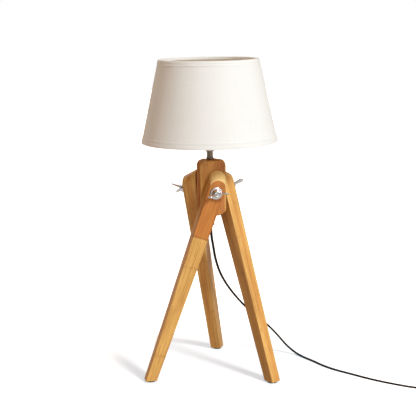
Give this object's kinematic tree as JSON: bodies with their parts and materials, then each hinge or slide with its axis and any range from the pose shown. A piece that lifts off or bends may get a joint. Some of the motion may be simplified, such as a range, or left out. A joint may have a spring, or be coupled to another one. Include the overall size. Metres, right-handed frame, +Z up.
{
  "type": "tripod table lamp",
  "caption": "Table lamp with a tapered fabric shade on a short stem over a wooden hub with three folding wooden legs, wing nuts and a cord with a switch and plug.",
  "frame": {"origin": "on the table top, on the lamp's axis under the stem", "axes": "+Z up; the hub board with the leg that shows in front looks along -Y"},
  "size_m": [0.6497, 0.3603, 0.5875],
  "materials": {
    "laminated_bamboo": "clear satin lacquer over glued strips",
    "bamboo_legs": "clear satin lacquer, fine straight grain",
    "chrome": "bright nickel-chrome plating",
    "zinc_steel": "bright zinc-plated steel",
    "dark_nickel": "smoky dark nickel, polished",
    "black_plastic": "satin moulded plastic",
    "black_fibre": "pressed fibre disc",
    "black_rubber": "soft matt rubber",
    "black_cord": "smooth extruded sheath",
    "white_metal": "white powder coat",
    "white_fabric": "plain cotton-blend weave",
    "shade_backing": "smooth white film behind the fabric",
    "white_tape": "woven tape folded over the rim",
    "bulb_glass": "frosted inside",
    "bulb_aluminium": "rolled screw cap",
    "contact_brass": "plain brass",
    "insert_ceramic": "unglazed",
    "nylon": "natural nylon"
  },
  "bodies": {
    "stand": {"hub_board_front": "laminated_bamboo", "spacer_front": "black_fibre", "pivot_bolt_front": "zinc_steel", "hub_board_right": "laminated_bamboo", "spacer_right": "black_fibre", "pivot_bolt_right": "zinc_steel", "hub_board_back": "laminated_bamboo", "spacer_back": "black_fibre", "pivot_bolt_back": "zinc_steel", "hub_core": "laminated_bamboo", "stem_rod": "zinc_steel", "stem_sleeve": "dark_nickel", "stem_collar": "dark_nickel", "stem_lock_nut": "dark_nickel", "hub_washer": "zinc_steel", "hub_nut": "zinc_steel", "cord_grip": "black_plastic", "grip_screw": "nylon", "cord_inner": "black_cord", "holder_cap": "black_plastic", "holder_shell": "black_plastic", "holder_ring": "black_plastic", "holder_insert": "insert_ceramic", "holder_contact": "contact_brass", "bulb_glass": "bulb_glass", "bulb_cap": "bulb_aluminium", "bulb_tip": "contact_brass", "cord_free": "black_cord", "cord_link": "black_cord", "cord_coil": "black_cord", "cord_tail": "black_cord", "switch_base": "black_plastic", "switch_cover": "black_plastic", "switch_pin": "zinc_steel", "switch_screws": "zinc_steel", "switch_terminals": "contact_brass", "plug_body": "black_plastic", "plug_pins": "contact_brass"},
    "leg_front": {"leg_front": "bamboo_legs", "foot_pad_front": "black_rubber", "washer_front": "chrome"},
    "nut_front": {"wing_nut_front": "chrome"},
    "leg_right": {"leg_right": "bamboo_legs", "foot_pad_right": "black_rubber", "washer_right": "chrome"},
    "nut_right": {"wing_nut_right": "chrome"},
    "leg_back": {"leg_back": "bamboo_legs", "foot_pad_back": "black_rubber", "washer_back": "chrome"},
    "nut_back": {"wing_nut_back": "chrome"},
    "shade": {"shade_spider": "white_metal", "shade_wire_top": "white_metal", "shade_wire_bottom": "white_metal", "shade_fabric": "white_fabric", "shade_lining": "shade_backing", "shade_hem_top": "white_tape", "shade_hem_bottom": "white_tape"},
    "rocker": {"switch_rocker": "black_plastic"}
  },
  "joints": [
    {"name": "leg_front_fold", "type": "hinge", "parent": "stand", "child": "leg_front", "pos_m": [0, -0.035, 0.349], "axis": [0, 1, 0], "range_deg": [-15, 25]},
    {"name": "wing_nut_front_turn", "type": "hinge", "parent": "stand", "child": "nut_front", "pos_m": [0, -0.056, 0.349], "axis": [0, -1, 0], "range_deg": [0, 180]},
    {"name": "leg_right_fold", "type": "hinge", "parent": "stand", "child": "leg_right", "pos_m": [0.03031, 0.0175, 0.349], "axis": [-0.866, -0.5, 0], "range_deg": [-15, 25]},
    {"name": "wing_nut_right_turn", "type": "hinge", "parent": "stand", "child": "nut_right", "pos_m": [0.0485, 0.028, 0.349], "axis": [0.866, 0.5, 0], "range_deg": [0, 180]},
    {"name": "leg_back_fold", "type": "hinge", "parent": "stand", "child": "leg_back", "pos_m": [-0.03031, 0.0175, 0.349], "axis": [0.866, -0.5, 0], "range_deg": [-15, 25]},
    {"name": "wing_nut_back_turn", "type": "hinge", "parent": "stand", "child": "nut_back", "pos_m": [-0.0485, 0.028, 0.349], "axis": [-0.866, 0.5, 0], "range_deg": [0, 180]},
    {"name": "shade_turn", "type": "hinge", "parent": "stand", "child": "shade", "pos_m": [0, 0, 0.469], "axis": [0, 0, 1], "continuous": true},
    {"name": "switch_rock", "type": "hinge", "parent": "stand", "child": "rocker", "pos_m": [0.411, -0.209, 0.0125], "axis": [0, 1, 0], "range_deg": [0, 16]}
  ]
}
